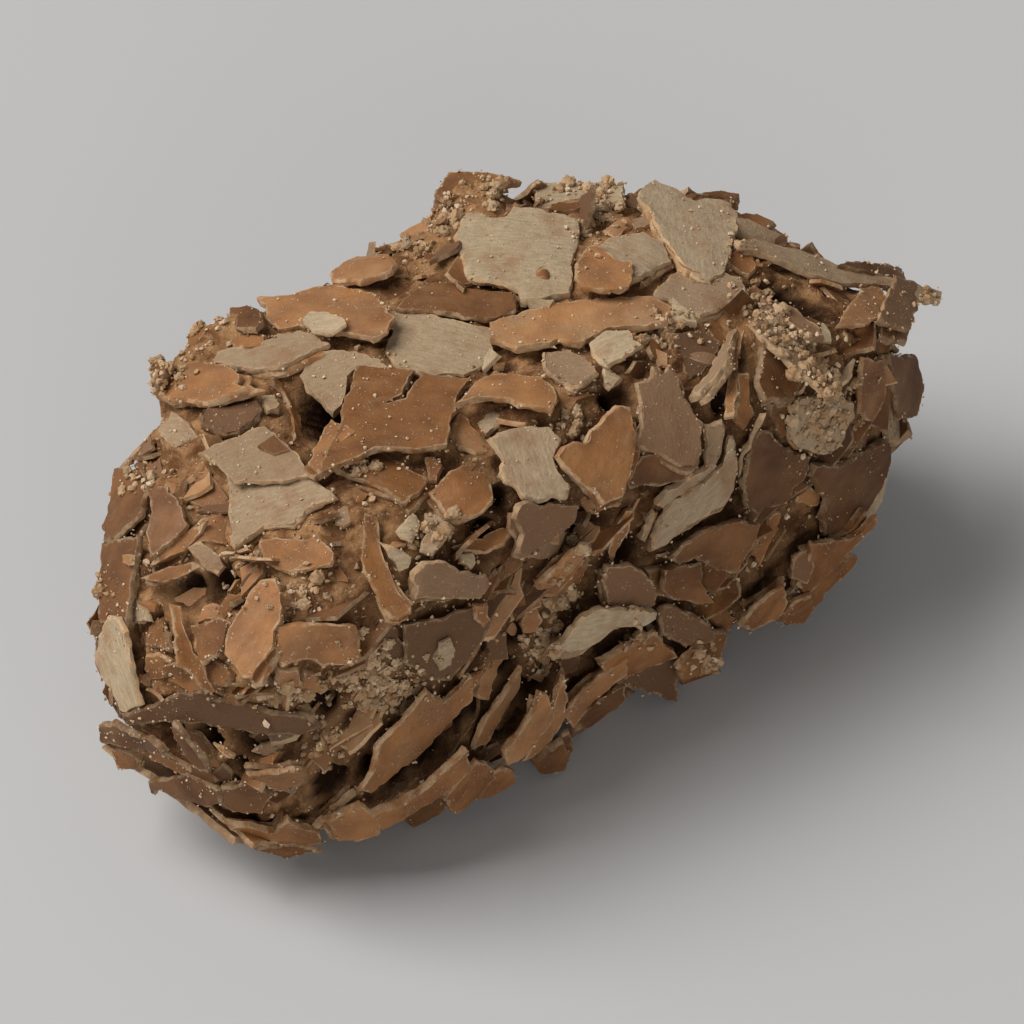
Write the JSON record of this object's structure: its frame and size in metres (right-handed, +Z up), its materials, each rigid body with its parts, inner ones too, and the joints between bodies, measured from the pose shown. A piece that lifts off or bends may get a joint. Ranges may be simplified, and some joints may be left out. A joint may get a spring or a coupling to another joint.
{
  "type": "chocolate truffle",
  "caption": "Oblong milk chocolate truffle, a knobbly rounded log covered all over in thin broken chocolate flakes.",
  "frame": {"origin": "under the middle of the truffle, on the surface it rests on", "axes": "+X along the truffle, +Y across it, +Z up"},
  "size_m": [0.0433, 0.0227, 0.0185],
  "materials": {
    "chocolate": "milk chocolate coating under flakes that are waxy caramel brown on one side and dull pale beige on the other"
  },
  "bodies": {
    "root": {"truffle": "chocolate"}
  },
  "joints": []
}
